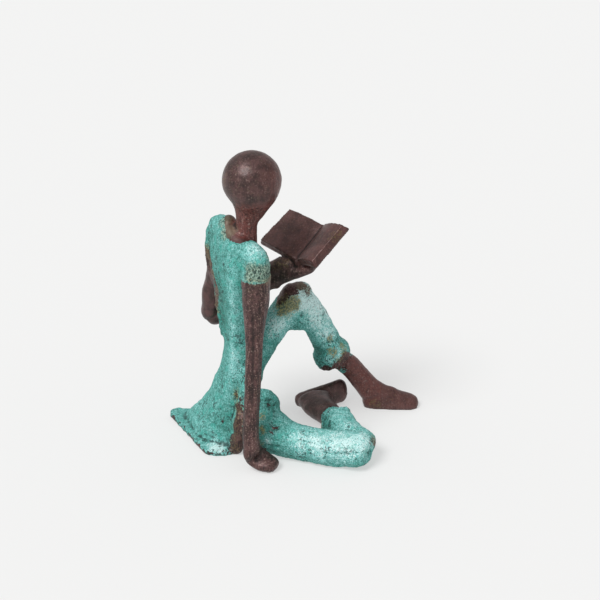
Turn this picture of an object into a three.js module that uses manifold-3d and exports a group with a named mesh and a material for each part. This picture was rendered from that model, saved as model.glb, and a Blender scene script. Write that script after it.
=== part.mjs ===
// A small cast bronze of a seated child reading an open book, in millimetres, +Z up.
// The child sits on the floor, leans on the right hand, and looks down at the book in the left.
// The right leg is folded flat on the floor and the left knee is raised. The head is a plain ball.
// Positions are in the sculpting frame, seen by the viewer with +X to the right and +Y away.
// MIDDLE moves the cast so that the middle of its footprint is at the origin.
import * as THREE from "three";
import { mergeVertices } from "three/addons/utils/BufferGeometryUtils.js";
import Module from "manifold-3d";

const MIDDLE = new THREE.Vector2(-1.63, -21.72);

// Driving sizes
const HEAD_ACROSS = 19.7;
const NECK_ACROSS = 7.5;
const SHOULDERS_ACROSS = 30;
const CHEST_DEEP = 11.5;
const WAIST_ACROSS = 15;
const ARM_ACROSS = 8.9;
const FOREARM_ACROSS = 5.5;
const SLEEVE_ACROSS = 9.8;
const THIGH_ACROSS = 12;
const SHIN_ACROSS = 7.8;
const CUFF_ACROSS = 14;
const HEM_THICK = 1.7;
const COVER_THICK = 1.6;
const PAGES_THICK = 1.9;
const RIM_ACROSS = 2.2;
const RIM_ROOT = 6.4;
const GUTTER_LAP = 0.03;

// Joints of the body, from the head down
const HEAD = point(-15.8, -22, 95.6);
const NECK_BASE = point(-18, -22.4, 71);
const LEFT_SHOULDER = point(-27.8, -14, 75);
const RIGHT_SHOULDER = point(-14.3, -32.6, 70.9);
const WAIST = point(-20.4, -21.6, 38);
const LEFT_ELBOW = point(-31, -8.8, 38.3);
const LEFT_WRIST = point(-9.6, -10, 55.2);
const RIGHT_ELBOW = point(-15.2, -40, 44);
const RIGHT_WRIST = point(-16.6, -45, 12.5);
const LEFT_KNEE = point(-0.4, -4.4, 43.4);
const LEFT_CUFF = point(11.8, -0.8, 20.9);
const LEFT_ANKLE = point(25.4, -0.2, 5.6);
const RIGHT_KNEE = point(21, -41.5, 6);
const RIGHT_CUFF = point(12.5, -23.4, 6);
const RIGHT_HEEL = point(0.4, -5.4, 4.9);
const RIGHT_TOES = point(15.2, 1.8, 5);

// The shoulders run from far left to near right, so the chest faces right and away.
const ACROSS_SHOULDERS = RIGHT_SHOULDER.clone().sub(LEFT_SHOULDER).setZ(0).normalize();
const FORWARD = new THREE.Vector3(-ACROSS_SHOULDERS.y, ACROSS_SHOULDERS.x, 0);
const ACROSS_HIPS = new THREE.Vector3(0.54, -0.84, 0).normalize();
const UP = new THREE.Vector3(0, 0, 1);
const RIGHTWARD = new THREE.Vector3(1, 0, 0);
const AWAY = new THREE.Vector3(0, 1, 0);

const wasm = await Module();
wasm.setup();

function point(x, y, z) {
  return new THREE.Vector3(x, y, z);
}

// A point that lies a share of the way from one place to another.
function between(from, to, share) {
  return from.clone().lerp(to, share);
}

// A bump of height 1 around the angle middle, for folds and ridges on a section.
function bump(angle, middle, spread) {
  const off = Math.atan2(Math.sin(angle - middle), Math.cos(angle - middle));
  return Math.exp(-((off / spread) ** 2));
}

// A closed body with elliptical sections square to a smooth spine, and a dome on each end.
// Each station is [place, across, deep]; across is measured along side, deep square to it.
// dome is the height of the end domes as a share of the end's half width.
function limb(stations, { side = RIGHTWARD, around = 14, each = 2, dome = [0.8, 0.8], fold = () => 1 } = {}) {
  const spine = new THREE.CatmullRomCurve3(stations.map(([place]) => place), false, "catmullrom", 0.5);
  const sizes = new THREE.CatmullRomCurve3(
    stations.map(([, across, deep]) => new THREE.Vector3(across / 2, (deep ?? across) / 2, 0)),
    false,
    "catmullrom",
    0.5,
  );
  const count = (stations.length - 1) * each;
  const domeRings = 2;
  const rings = [];
  for (let i = -domeRings; i <= count + domeRings; i++) {
    const share = THREE.MathUtils.clamp(i / count, 0, 1);
    const tangent = spine.getTangent(share);
    const size = sizes.getPoint(share);
    const end = i < 0 ? 0 : 1;
    const beyond = i < 0 ? -i : Math.max(i - count, 0);
    const turn = (beyond / domeRings) * (Math.PI / 2);
    const reach = Math.min(size.x, size.y) * dome[end] * Math.sin(turn) * (i < 0 ? -1 : 1);
    rings.push({
      middle: spine.getPoint(share).addScaledVector(tangent, reach),
      tangent,
      size,
      shrink: Math.cos(turn),
      share,
    });
  }
  const places = [];
  const first = rings.shift();
  const last = rings.pop();
  for (const { middle, tangent, size, shrink, share } of rings) {
    const across = side.clone().addScaledVector(tangent, -side.dot(tangent)).normalize();
    const deep = tangent.clone().cross(across);
    for (let j = 0; j < around; j++) {
      const angle = (j / around) * Math.PI * 2;
      const swell = fold(angle, share) * shrink;
      const place = middle.clone();
      place.addScaledVector(across, size.x * Math.cos(angle) * swell);
      place.addScaledVector(deep, size.y * Math.sin(angle) * swell);
      places.push(place);
    }
  }
  const faces = [];
  for (let i = 0; i < rings.length - 1; i++) {
    for (let j = 0; j < around; j++) {
      const a = i * around + j;
      const b = i * around + ((j + 1) % around);
      faces.push(a, b, b + around, a, b + around, a + around);
    }
  }
  const start = places.push(first.middle) - 1;
  const finish = places.push(last.middle) - 1;
  const top = (rings.length - 1) * around;
  for (let j = 0; j < around; j++) {
    const next = (j + 1) % around;
    faces.push(start, next, j);
    faces.push(finish, top + j, top + next);
  }
  return new THREE.BufferGeometry().setFromPoints(places).setIndex(faces);
}

// A closed slab under a curved sheet: sheet(u, v) gives its upper face, thick its depth along down.
function slab(sheet, down, thick, { wide = 7, long = 1 } = {}) {
  const places = [];
  const upper = (i, j) => i * (long + 1) + j;
  const total = (wide + 1) * (long + 1);
  for (const drop of [0, thick]) {
    for (let i = 0; i <= wide; i++) {
      for (let j = 0; j <= long; j++) {
        places.push(sheet(i / wide, j / long).addScaledVector(down, drop));
      }
    }
  }
  const faces = [];
  const quad = (a, b, c, d) => faces.push(a, b, c, a, c, d);
  for (let i = 0; i < wide; i++) {
    for (let j = 0; j < long; j++) {
      const [a, b, c, d] = [upper(i, j), upper(i + 1, j), upper(i + 1, j + 1), upper(i, j + 1)];
      quad(a, b, c, d);
      quad(d + total, c + total, b + total, a + total);
    }
    quad(upper(i, 0), upper(i, 0) + total, upper(i + 1, 0) + total, upper(i + 1, 0));
    quad(upper(i + 1, long), upper(i + 1, long) + total, upper(i, long) + total, upper(i, long));
  }
  for (let j = 0; j < long; j++) {
    quad(upper(0, j + 1), upper(0, j + 1) + total, upper(0, j) + total, upper(0, j));
    quad(upper(wide, j), upper(wide, j) + total, upper(wide, j + 1) + total, upper(wide, j + 1));
  }
  return new THREE.BufferGeometry().setFromPoints(places).setIndex(faces);
}

// A three.js geometry as a manifold-3d solid.
function solidOf(geometry) {
  const bare = geometry.clone();
  bare.deleteAttribute("normal");
  bare.deleteAttribute("uv");
  const merged = mergeVertices(bare, 1e-4);
  return new wasm.Manifold(
    new wasm.Mesh({
      numProp: 3,
      vertProperties: merged.attributes.position.array,
      triVerts: new Uint32Array(merged.index.array),
    }),
  );
}

function headAndNeck() {
  const ball = new THREE.SphereGeometry(HEAD_ACROSS / 2, 18, 12);
  ball.rotateX(Math.PI / 2);
  ball.scale(1, 1.02, 1.01);
  ball.translate(HEAD.x, HEAD.y, HEAD.z);
  const jaw = point(-16.3, -21.5, 86.5);
  const neck = limb(
    [
      [NECK_BASE.clone().setZ(69), NECK_ACROSS * 1.15],
      [NECK_BASE.clone().setZ(72), NECK_ACROSS * 1.06],
      [point(-17.8, -22.3, 77), NECK_ACROSS * 0.97],
      [point(-17.5, -22, 81.5), NECK_ACROSS * 1.02],
      [jaw, HEAD_ACROSS * 0.64],
      [point(-15.8, -21.9, 91), HEAD_ACROSS * 0.91],
      [HEAD, HEAD_ACROSS * 0.9],
    ],
    { around: 14, dome: [0.4, 0.4] },
  );
  return [ball, neck];
}

// The tunic from the shoulders to the floor: a soft ridge runs down the back into a flared skirt.
function tunic() {
  const back = -Math.PI / 2;
  const fold = (angle, share) => {
    const body = Math.sin(Math.PI * THREE.MathUtils.clamp(share, 0.05, 0.95));
    const skirt = THREE.MathUtils.smoothstep(1 - share, 0.55, 0.9);
    const ridge = 0.1 * bump(angle, back + 0.3, 0.26) * body;
    const hollow = -0.06 * bump(angle, back - 0.4, 0.34) * body;
    return 1 + ridge + hollow + 0.035 * skirt * Math.cos(5 * angle + 0.8);
  };
  const trunk = limb(
    [
      [point(-36, -19.6, -7), 31, 10],
      [point(-31.4, -21, 0), 27.4, 13.2],
      [point(-27, -21.4, 7), 23.4, 14.2],
      [point(-23.9, -21.5, 14.5), 19.6, 13.2],
      [point(-22, -21.5, 22), 17, 12.2],
      [point(-20.8, -21.6, 30), WAIST_ACROSS * 1.02, 11],
      [WAIST, WAIST_ACROSS, 10.4],
      [point(-21, -21.6, 48), 18.5, 10.8],
      [point(-22, -22, 58), 23.5, CHEST_DEEP],
      [point(-22, -22.8, 67), SHOULDERS_ACROSS * 0.94, CHEST_DEEP],
      [point(-21.2, -23.6, 74.6), SHOULDERS_ACROSS * 0.88, CHEST_DEEP * 0.8],
    ],
    { side: ACROSS_HIPS, around: 20, dome: [0.1, 0.5], fold },
  );
  const yoke = limb(
    [
      [between(LEFT_SHOULDER, RIGHT_SHOULDER, 0.02).add(point(0.4, 0, 1.2)), 8.4, 9],
      [between(LEFT_SHOULDER, RIGHT_SHOULDER, 0.26).add(point(0, 0, 2.2)), 8.4, 9],
      [between(LEFT_SHOULDER, RIGHT_SHOULDER, 0.7).add(point(0, 0, 0.5)), 8.4, 9],
      [between(LEFT_SHOULDER, RIGHT_SHOULDER, 0.98).add(point(0.3, 0.6, 1.4)), 8.6, 9.2],
    ],
    { side: FORWARD },
  );
  const seat = limb(
    [
      [point(-23, -16, 7), 16, 14],
      [point(-18, -23, 9), 17, 18],
      [point(-14, -29, 8), 14, 16],
    ],
    { side: FORWARD },
  );
  return [trunk, yoke, seat];
}

// The flat hem that spreads on the floor behind the child, with a tail at its far corner.
function hem() {
  const outline = new THREE.Shape();
  outline.moveTo(-45.8, -9.4);
  outline.quadraticCurveTo(-46.6, -6.8, -43.6, -6.2);
  outline.quadraticCurveTo(-39, -7.2, -36.5, -6.8);
  outline.lineTo(-24, -11);
  outline.lineTo(-21, -33);
  outline.quadraticCurveTo(-22.6, -36.4, -26.4, -36.6);
  outline.quadraticCurveTo(-31, -37, -33, -34.6);
  outline.quadraticCurveTo(-37, -26, -45.8, -9.4);
  const sheet = new THREE.ExtrudeGeometry(outline, {
    depth: HEM_THICK - 0.6,
    bevelEnabled: true,
    bevelThickness: 0.5,
    bevelSize: 0.5,
    bevelSegments: 2,
    curveSegments: 5,
  });
  sheet.translate(0, 0, 0.5);
  const tail = limb(
    [
      [point(-44, -8.8, 0.5), 3, 2],
      [point(-40, -10.6, 0.9), 5.4, 3],
      [point(-35, -12.4, 1.8), 8, 5],
      [point(-30.5, -13.8, 4), 11, 9],
    ],
    { side: new THREE.Vector3(0.45, 0.9, 0), around: 12 },
  );
  return [sheet, tail];
}

// Raised edges of the tunic: down the left of the back, and beside the right arm.
// The right edge is a web that reaches RIM_ROOT from its rim into the skirt.
function tunicEdges() {
  const left = limb(
    [
      [point(-31.4, -14.4, 71.5), RIM_ACROSS * 0.8],
      [point(-31, -15.4, 63), RIM_ACROSS],
      [point(-28.6, -16.4, 55), RIM_ACROSS * 1.1],
      [point(-27.6, -17.8, 47), RIM_ACROSS],
      [point(-26.4, -19, 38), RIM_ACROSS * 0.9],
    ],
    { around: 6 },
  );
  const rooted = (x, y, z, across) => {
    const middle = point(x, y, z).addScaledVector(ACROSS_HIPS, (across - RIM_ROOT) / 2);
    return [middle, across, RIM_ROOT];
  };
  const right = limb(
    [
      rooted(-21.8, -35.2, 1.2, RIM_ACROSS * 1.6),
      rooted(-21.4, -35.4, 5, RIM_ACROSS * 1.4),
      rooted(-19.8, -34.6, 12, RIM_ACROSS * 1.1),
      rooted(-18.8, -32.6, 21, RIM_ACROSS),
      rooted(-18.6, -29.8, 29, RIM_ACROSS * 0.8),
    ],
    { side: new THREE.Vector3(-ACROSS_HIPS.y, ACROSS_HIPS.x, 0), around: 8 },
  );
  return [left, right];
}

function rightArm() {
  const sleeve = limb(
    [
      [RIGHT_SHOULDER.clone().add(point(0.2, 0.6, 2.2)), SLEEVE_ACROSS * 0.78],
      [RIGHT_SHOULDER, SLEEVE_ACROSS * 0.92],
      [between(RIGHT_SHOULDER, RIGHT_ELBOW, 0.14), SLEEVE_ACROSS * 0.98],
      [between(RIGHT_SHOULDER, RIGHT_ELBOW, 0.3), SLEEVE_ACROSS],
    ],
    { dome: [0.9, 0.25] },
  );
  const arm = limb(
    [
      [between(RIGHT_SHOULDER, RIGHT_ELBOW, 0.2), ARM_ACROSS],
      [between(RIGHT_SHOULDER, RIGHT_ELBOW, 0.45).add(point(0.2, 0, 0)), ARM_ACROSS * 1.05],
      [between(RIGHT_SHOULDER, RIGHT_ELBOW, 0.72), ARM_ACROSS * 0.82],
      [RIGHT_ELBOW, ARM_ACROSS * 0.66],
      [between(RIGHT_ELBOW, RIGHT_WRIST, 0.4), FOREARM_ACROSS],
      [between(RIGHT_ELBOW, RIGHT_WRIST, 0.8), FOREARM_ACROSS],
      [RIGHT_WRIST, FOREARM_ACROSS * 1.04],
      [RIGHT_WRIST.clone().add(point(0.5, -0.4, -5.5)), FOREARM_ACROSS * 1.1],
    ],
  );
  const hand = limb(
    [
      [point(-16.2, -43.8, 7.2), 6, 5.4],
      [point(-14.6, -43.8, 4), 7.8, 5.2],
      [point(-12.2, -44.8, 2.4), 8.8, 5],
      [point(-9.4, -46.2, 1.9), 7.4, 4.2],
    ],
    { side: new THREE.Vector3(0.75, 0.66, 0), dome: [0.6, 0.95] },
  );
  return [sleeve, arm, hand];
}

function leftArm() {
  const upper = limb(
    [
      [LEFT_SHOULDER.clone().add(point(-0.2, 0.6, -0.6)), ARM_ACROSS * 0.92],
      [point(-27.9, -12.6, 62.5), ARM_ACROSS * 0.84],
      [point(-29.5, -10.8, 52), ARM_ACROSS * 0.84],
      [LEFT_ELBOW.clone().add(point(0, 0, 3)), ARM_ACROSS * 0.82],
    ],
    { side: FORWARD, around: 12 },
  );
  const forearm = limb(
    [
      [LEFT_ELBOW.clone().add(point(0.8, 0.1, 1.2)), ARM_ACROSS * 0.74],
      [between(LEFT_ELBOW, LEFT_WRIST, 0.4), FOREARM_ACROSS * 1.2],
      [between(LEFT_ELBOW, LEFT_WRIST, 0.75), FOREARM_ACROSS * 1.14],
      [LEFT_WRIST, FOREARM_ACROSS * 1.25],
    ],
    { side: FORWARD, around: 12 },
  );
  const palm = limb(
    [
      [between(LEFT_ELBOW, LEFT_WRIST, 0.9), 7.4, 6.6],
      [point(-5.6, -11.2, 57.2), 8.2, 6],
      [point(-0.6, -13.2, 60.4), 11, 5.4],
      [point(4.2, -15.8, 62.9), 9, 4.4],
    ],
    { side: new THREE.Vector3(0.63, 0.62, 0.47), around: 12 },
  );
  const handBack = limb(
    [
      [point(-10.6, -10.8, 57.4), 6.4],
      [point(-7, -11.6, 59.9), 7],
      [point(-2.4, -13.4, 61.4), 6.4],
    ],
    { side: new THREE.Vector3(0.63, 0.62, 0.47), around: 8 },
  );
  const fingers = limb(
    [
      [point(-0.8, -13.4, 60.4), 9, 4.6],
      [point(2.2, -11.6, 63.4), 8.6, 4.2],
      [point(5.2, -9.2, 66.3), 7, 3.4],
    ],
    { side: new THREE.Vector3(0.7, -0.72, 0), around: 12 },
  );
  const thumb = limb(
    [
      [LEFT_WRIST.clone().add(point(1, -1, 0)), 3.6],
      [LEFT_WRIST.clone().add(point(1.6, -1.6, -2.4)), 3],
    ],
    { around: 8 },
  );
  return [upper, forearm, palm, handBack, fingers, thumb];
}

// The open book: two leaves that meet in a gutter, each a block of pages on a cover.
// The leaves lap over each other at the gutter, by a share of their width.
function book() {
  const corners = {
    leftTop: point(-3.9, 5, 75.5),
    leftBottom: point(-14.8, -5, 67.4),
    gutterTop: point(8.6, -7.4, 73.8),
    gutterBottom: point(-1.4, -17.4, 64.2),
    rightTop: point(15.2, -19, 79),
    rightBottom: point(3.9, -28, 68.4),
  };
  const leaf = (bottomIn, topIn, bottomOut, topOut, swell, peak) => (u, v) => {
    const inner = between(bottomIn, topIn, v);
    const outer = between(bottomOut, topOut, v);
    const rise = swell * Math.sin(Math.PI * Math.min(1, u ** peak));
    return between(inner, outer, THREE.MathUtils.lerp(-GUTTER_LAP, 1, u)).addScaledVector(facing, rise);
  };
  const { leftTop, leftBottom, gutterTop, gutterBottom, rightTop, rightBottom } = corners;
  const spine = gutterTop.clone().sub(gutterBottom).normalize();
  const facing = rightTop.clone().sub(leftTop).cross(spine).normalize();
  const down = facing.clone().negate();
  const leaves = [
    { sheet: leaf(gutterBottom, gutterTop, rightBottom, rightTop, 1.5, 0.7) },
    { sheet: leaf(gutterBottom, gutterTop, leftBottom, leftTop, 0.8, 0.8), mirrored: true },
  ];
  const solids = [];
  for (const { sheet, mirrored } of leaves) {
    const along = mirrored ? (u, v) => sheet(1 - u, v) : sheet;
    const [near, far] = mirrored ? [0.05, 1] : [0, 0.95];
    const inset = (u, v) => along(THREE.MathUtils.lerp(near, far, u), 0.03 + 0.94 * v);
    const cover = (u, v) => along(u, v).addScaledVector(down, PAGES_THICK * 0.8);
    solids.push(slab(inset, down, PAGES_THICK));
    solids.push(slab(cover, down, COVER_THICK));
  }
  const back = limb(
    [
      [gutterBottom.clone().addScaledVector(down, 1.2), 2.6],
      [gutterTop.clone().addScaledVector(down, 1.2), 2.6],
    ],
    { around: 10, dome: [0.2, 0.2] },
  );
  return [...solids, back];
}

// The left leg in its trouser: thigh up to the raised knee, shin down to a rolled cuff.
function leftLeg() {
  const pleats = (angle, share) => 1 + 0.03 * Math.cos(3 * angle + 5 * share);
  const thigh = limb(
    [
      [point(-20.2, -17.4, 22), 15],
      [point(-17.6, -15, 26.4), 13],
      [point(-13.7, -11.8, 30.6), 11.4],
      [point(-9.6, -8.6, 35.4), 10.4],
      [point(-5.4, -6.2, 40.4), 10.8],
      [LEFT_KNEE.clone().add(point(-2, -0.6, 0.8)), 11.2],
    ],
    { side: new THREE.Vector3(0.2, 1, 0), fold: pleats },
  );
  const trouser = limb(
    [
      [LEFT_KNEE.clone().add(point(0.8, 0.4, 0)), 10.8, 11],
      [point(3.6, -3.2, 38.4), 10.6, 11],
      [point(6.6, -2.4, 32.7), 10.4, 10.2],
      [point(9, -1.6, 27.2), 11, 10.6],
      [LEFT_CUFF, 11.6, 11.4],
    ],
    { side: new THREE.Vector3(0.2, 1, 0), dome: [0.8, 0.2], fold: pleats },
  );
  const kneecap = limb(
    [
      [point(-3.6, -6, 45.3), 11, 9],
      [point(1, -3.8, 45.5), 11, 9],
    ],
    { side: UP },
  );
  const cuff = limb(
    [
      [point(10, -1.2, 23.8), CUFF_ACROSS * 0.92],
      [point(11.2, -0.9, 21.6), CUFF_ACROSS],
      [point(12.4, -0.6, 19.5), CUFF_ACROSS * 0.94],
    ],
    { side: AWAY, dome: [0.3, 0.2] },
  );
  const shin = limb(
    [
      [LEFT_CUFF, SHIN_ACROSS],
      [point(18.1, 0, 15.8), SHIN_ACROSS * 1.02],
      [point(22.6, 0.1, 9.6), SHIN_ACROSS],
      [LEFT_ANKLE, SHIN_ACROSS],
    ],
    { side: AWAY },
  );
  const foot = limb(
    [
      [point(25.4, -0.3, 2), 7, 7.4],
      [point(30.4, -0.4, 2.4), 7.4, 11.6],
      [point(35.4, -0.5, 1.8), 8, 8.6],
      [point(40.2, -0.6, 1.2), 7.8, 6.4],
    ],
    { side: AWAY, dome: [0.85, 0.95] },
  );
  const instep = limb(
    [
      [point(21.4, 0, 12.2), SHIN_ACROSS * 0.92],
      [point(26, -0.2, 7), SHIN_ACROSS * 0.95],
      [point(32, -0.5, 3.6), SHIN_ACROSS * 0.9],
    ],
    { side: AWAY, around: 12 },
  );
  const kneeHollow = limb(
    [
      [point(-3.4, -6.4, 37.8), 8.4],
      [point(1.8, -4.2, 36.6), 8.4],
    ],
    { side: UP, around: 12 },
  );
  return [thigh, trouser, kneecap, kneeHollow, cuff, shin, instep, foot];
}

// The right leg, folded flat: thigh out to the knee, shin back to the cuff, the foot on its side.
function rightLeg() {
  const pleats = (angle, share) => 1 + 0.035 * Math.cos(4 * angle + 3 * share);
  const boxy = (angle) => (Math.cos(angle) ** 4 + Math.sin(angle) ** 4) ** -0.25;
  const trouser = limb(
    [
      [point(-17.5, -29, 10), 17, 18],
      [point(-12, -33.2, 9.2), 13.8, 17],
      [point(-5, -36.2, 6.6), 12.4, 13.2],
      [point(4, -38.8, 5.6), THIGH_ACROSS, 11.8],
      [point(13, -41.6, 5.6), THIGH_ACROSS * 1.1, 12],
      [RIGHT_KNEE, THIGH_ACROSS * 1.08, 11.6],
    ],
    { side: AWAY, dome: [0.5, 0.7], fold: pleats },
  );
  const hip = limb(
    [
      [point(-16, -29, 14), 12, 16],
      [point(-10.4, -30.6, 14), 9.6, 16],
    ],
    { side: AWAY },
  );
  const shin = limb(
    [
      [RIGHT_KNEE.clone().add(point(0.6, 2, 0)), 10.4, 10.8],
      [between(RIGHT_KNEE, RIGHT_CUFF, 0.4), 10.4, 11],
      [between(RIGHT_KNEE, RIGHT_CUFF, 0.75), 10.4, 11.2],
    ],
    { side: RIGHTWARD, dome: [0.6, 0.4], fold: pleats },
  );
  const cuff = limb(
    [
      [between(RIGHT_KNEE, RIGHT_CUFF, 0.7), 9.8, 10],
      [between(RIGHT_KNEE, RIGHT_CUFF, 0.86), 10.2, 10.2],
      [RIGHT_CUFF, 11.6, 10.8],
    ],
    { side: RIGHTWARD, around: 16, dome: [0.3, 0.12], fold: boxy },
  );
  const ankle = limb(
    [
      [RIGHT_CUFF, 7.6, 7.6],
      [point(9.8, -16.6, 5.6), 9.6, 8.4],
      [point(6.9, -10.8, 5.2), 11.8, 8.6],
      [point(5.6, -6, 5.4), 13.4, 8],
    ],
    { side: new THREE.Vector3(0.88, 0.46, 0), dome: [0.5, 0.3] },
  );
  const foot = limb(
    [
      [RIGHT_HEEL, 5.4, 5.6],
      [point(4.8, -3.4, 4.5), 6.2, 7.6],
      [point(10, -0.8, 4.5), 5.4, 8.8],
      [RIGHT_TOES, 4.6, 9.6],
    ],
    { side: new THREE.Vector3(-0.4, 0.9, 0), dome: [0.9, 0.9] },
  );
  return [trouser, hip, shin, cuff, ankle, foot];
}

// Everything is one casting, cut off flat where it rests on the floor.
function cast() {
  const forms = [
    ...headAndNeck(),
    ...tunic(),
    ...hem(),
    ...tunicEdges(),
    ...rightArm(),
    ...leftArm(),
    ...book(),
    ...leftLeg(),
    ...rightLeg(),
  ];
  const whole = forms.map(solidOf).reduce((sum, form) => sum.add(form));
  const floor = new THREE.BoxGeometry(200, 200, 40).translate(0, 0, -20);
  const { vertProperties, triVerts } = whole.subtract(solidOf(floor)).getMesh();
  const geometry = new THREE.BufferGeometry();
  geometry.setAttribute("position", new THREE.BufferAttribute(vertProperties, 3));
  geometry.setIndex(new THREE.BufferAttribute(triVerts, 1));
  geometry.computeVertexNormals();
  return geometry;
}

const bronze = new THREE.MeshStandardMaterial({ color: 0x5c8f84, roughness: 0.62, metalness: 0.55 });
const figurine = new THREE.Mesh(cast(), bronze);
figurine.name = "reading_child_cast";

const group = new THREE.Group();
group.add(figurine);
group.position.set(-MIDDLE.x, -MIDDLE.y, 0);

export default group;
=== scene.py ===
"""A small cast bronze of a seated child reading, with its patina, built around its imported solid.

Places are in millimetres in the sculpting frame: the viewer looks along +Y, with +X to the right.
at() turns them into the row frame. The skin is modelled in millimetres and ends in metres.
"""

import math

import bmesh
import bpy
import numpy as np
from mathutils import Matrix, Vector, noise


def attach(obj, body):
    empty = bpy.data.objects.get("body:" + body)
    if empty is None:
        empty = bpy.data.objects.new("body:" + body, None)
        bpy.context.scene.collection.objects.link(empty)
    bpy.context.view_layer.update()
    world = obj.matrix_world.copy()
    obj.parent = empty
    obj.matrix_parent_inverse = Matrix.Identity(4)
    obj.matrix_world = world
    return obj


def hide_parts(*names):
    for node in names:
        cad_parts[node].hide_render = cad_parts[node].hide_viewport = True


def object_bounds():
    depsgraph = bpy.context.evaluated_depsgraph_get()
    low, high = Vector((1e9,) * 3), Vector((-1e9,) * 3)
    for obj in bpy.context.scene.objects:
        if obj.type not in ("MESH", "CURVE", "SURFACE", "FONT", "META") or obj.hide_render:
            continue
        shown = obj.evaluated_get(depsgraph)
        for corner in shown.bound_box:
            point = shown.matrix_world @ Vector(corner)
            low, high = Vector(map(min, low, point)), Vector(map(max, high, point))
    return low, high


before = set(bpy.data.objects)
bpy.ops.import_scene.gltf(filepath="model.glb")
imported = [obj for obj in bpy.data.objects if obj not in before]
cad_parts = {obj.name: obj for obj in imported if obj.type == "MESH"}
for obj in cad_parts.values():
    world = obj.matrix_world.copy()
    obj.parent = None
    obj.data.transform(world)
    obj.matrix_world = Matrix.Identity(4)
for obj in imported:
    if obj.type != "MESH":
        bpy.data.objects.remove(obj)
CAD_BOX = [list(corner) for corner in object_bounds()]

MM = 0.001
NODE = "reading_child_cast"

# Unless it is seeded, noise_vector takes its offsets from the clock, and each run differs
NOISE_SEED = 1
noise.seed_set(NOISE_SEED)

MIDDLE = np.array((-1.63, -21.72, 0.0))


def at(x, y, z):
    """A place of the sculpting frame in the row frame, both in millimetres."""
    return np.array((x, y, z), float) - MIDDLE


def path(*places):
    """Places of the sculpting frame as a route in the row frame."""
    return [at(*place) for place in places]


def crease(width, depth, *places):
    """A crease as its route, width and depth."""
    return path(*places), width, depth


def limb(*stations, side=(1, 0, 0)):
    """A limb's stations, each (x, y, z, across) or (x, y, z, across, deep), and its side."""
    sections = [(at(*station[:3]), station[3], station[-1]) for station in stations]
    return sections, np.array(side, float)


# Driving sizes, in millimetres
SKIN_CELL = 0.51
SOLE_HEIGHT = 0.3
HEAD_ACROSS = 19.7
HEAD = at(-15.8, -22, 95.6)
SLEEVE_END_HEIGHT = 66.0
SLEEVE_LEFT = at(-18.4, 0, 0)[0]
LEFT_SLEEVE_END_HEIGHT = 67.0
COLLAR_LOW = 69.0
JAW_HEIGHT = 87.5
JAW_REACH = 6.0
NECK_TOP = 88.0
HEM_TOP = 2.4
SKIRT_BACK = at(-22, 0, 0)[0]
HEM_EDGE = at(-28, 0, 0)[0]

# How the skin is softened: rounds of averaging, and how far the last round goes
WAX_ROUNDS = 9
JAW_ROUNDS = 37
LAST_SHARE = 0.15

# How hollows are read: rounds of averaging and gain, for fine forms and for broad ones
FINE_ROUNDS, FINE_GAIN = 3, 6.5
BROAD_ROUNDS, BROAD_GAIN = 18, 1.6

AWAY = (0, 1, 0)
ACROSS_HIPS = (0.54, -0.84, 0)
ACROSS_PALM = (0.63, 0.62, 0.47)

# The child's bare parts
NECK = limb(
    (-18, -22.4, 69, 8.6),
    (-18, -22.4, 72, 8),
    (-17.8, -22.3, 77, 7.3),
    (-17.5, -22, 81.5, 7.7),
    (-16.3, -21.5, 86.5, 12.6),
    (-15.8, -21.9, 91, 17.9),
    (-15.8, -22, 95.6, 20),
)
RIGHT_ARM = limb(
    (-14.5, -34.1, 65.5, 8.9),
    (-14.5, -35.9, 58.8, 9.3),
    (-15, -37.9, 51.4, 7.3),
    (-15.2, -40, 44, 5.9),
    (-15.8, -42, 31.4, 5.5),
    (-16.6, -45, 12.5, 5.7),
    (-16.1, -45.4, 7, 6.1),
)
RIGHT_HAND = limb(
    (-16.2, -43.8, 7.2, 6, 5.4),
    (-14.6, -43.8, 4, 7.8, 5.2),
    (-12.2, -44.8, 2.4, 8.8, 5),
    (-9.4, -46.2, 1.9, 7.4, 4.2),
    side=(0.75, 0.66, 0),
)
LEFT_UPPER_ARM = limb(
    (-28, -13.4, 74.4, 8.2),
    (-27.9, -12.6, 62.5, 7.5),
    (-29.5, -10.8, 52, 7.5),
    (-31, -8.8, 41.3, 7.3),
)
LEFT_FOREARM = limb(
    (-30.2, -8.7, 39.5, 6.6),
    (-22.4, -9.3, 45.1, 6.6),
    (-9.6, -10, 55.2, 6.9),
)
LEFT_HAND = limb(
    (-11.7, -9.9, 53.7, 7.4, 6.6),
    (-5.6, -11.2, 57.2, 8.2, 6),
    (-0.6, -13.2, 60.4, 11, 5.4),
    (4.2, -15.8, 62.9, 9, 4.4),
    side=ACROSS_PALM,
)
LEFT_HAND_BACK = limb(
    (-10.6, -10.8, 57.4, 6.4),
    (-7, -11.6, 59.9, 7),
    (-2.4, -13.4, 61.4, 6.4),
)
LEFT_FINGERS = limb(
    (-0.8, -13.4, 60.4, 9, 4.6),
    (5.2, -9.2, 66.3, 7, 3.4),
    side=(0.7, -0.72, 0),
)
LEFT_SHIN = limb(
    (11.8, -0.8, 20.9, 7.8),
    (18.1, 0, 15.8, 8),
    (22.6, 0.1, 9.6, 7.8),
    (25.4, -0.2, 5.6, 7.8),
)
LEFT_FOOT = limb(
    (25.4, -0.3, 2, 7, 7.4),
    (30.4, -0.4, 2.4, 7.4, 11.6),
    (35.4, -0.5, 1.8, 8, 8.6),
    (40.2, -0.6, 1.2, 7.8, 6.4),
    side=AWAY,
)
RIGHT_ANKLE = limb(
    (12.5, -23.4, 6, 7.6),
    (9.8, -16.6, 5.6, 9.6, 8.4),
    (6.9, -10.8, 5.2, 11.8, 8.6),
    (5.6, -6, 5.4, 13.4, 8),
    side=(0.88, 0.46, 0),
)
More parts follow.
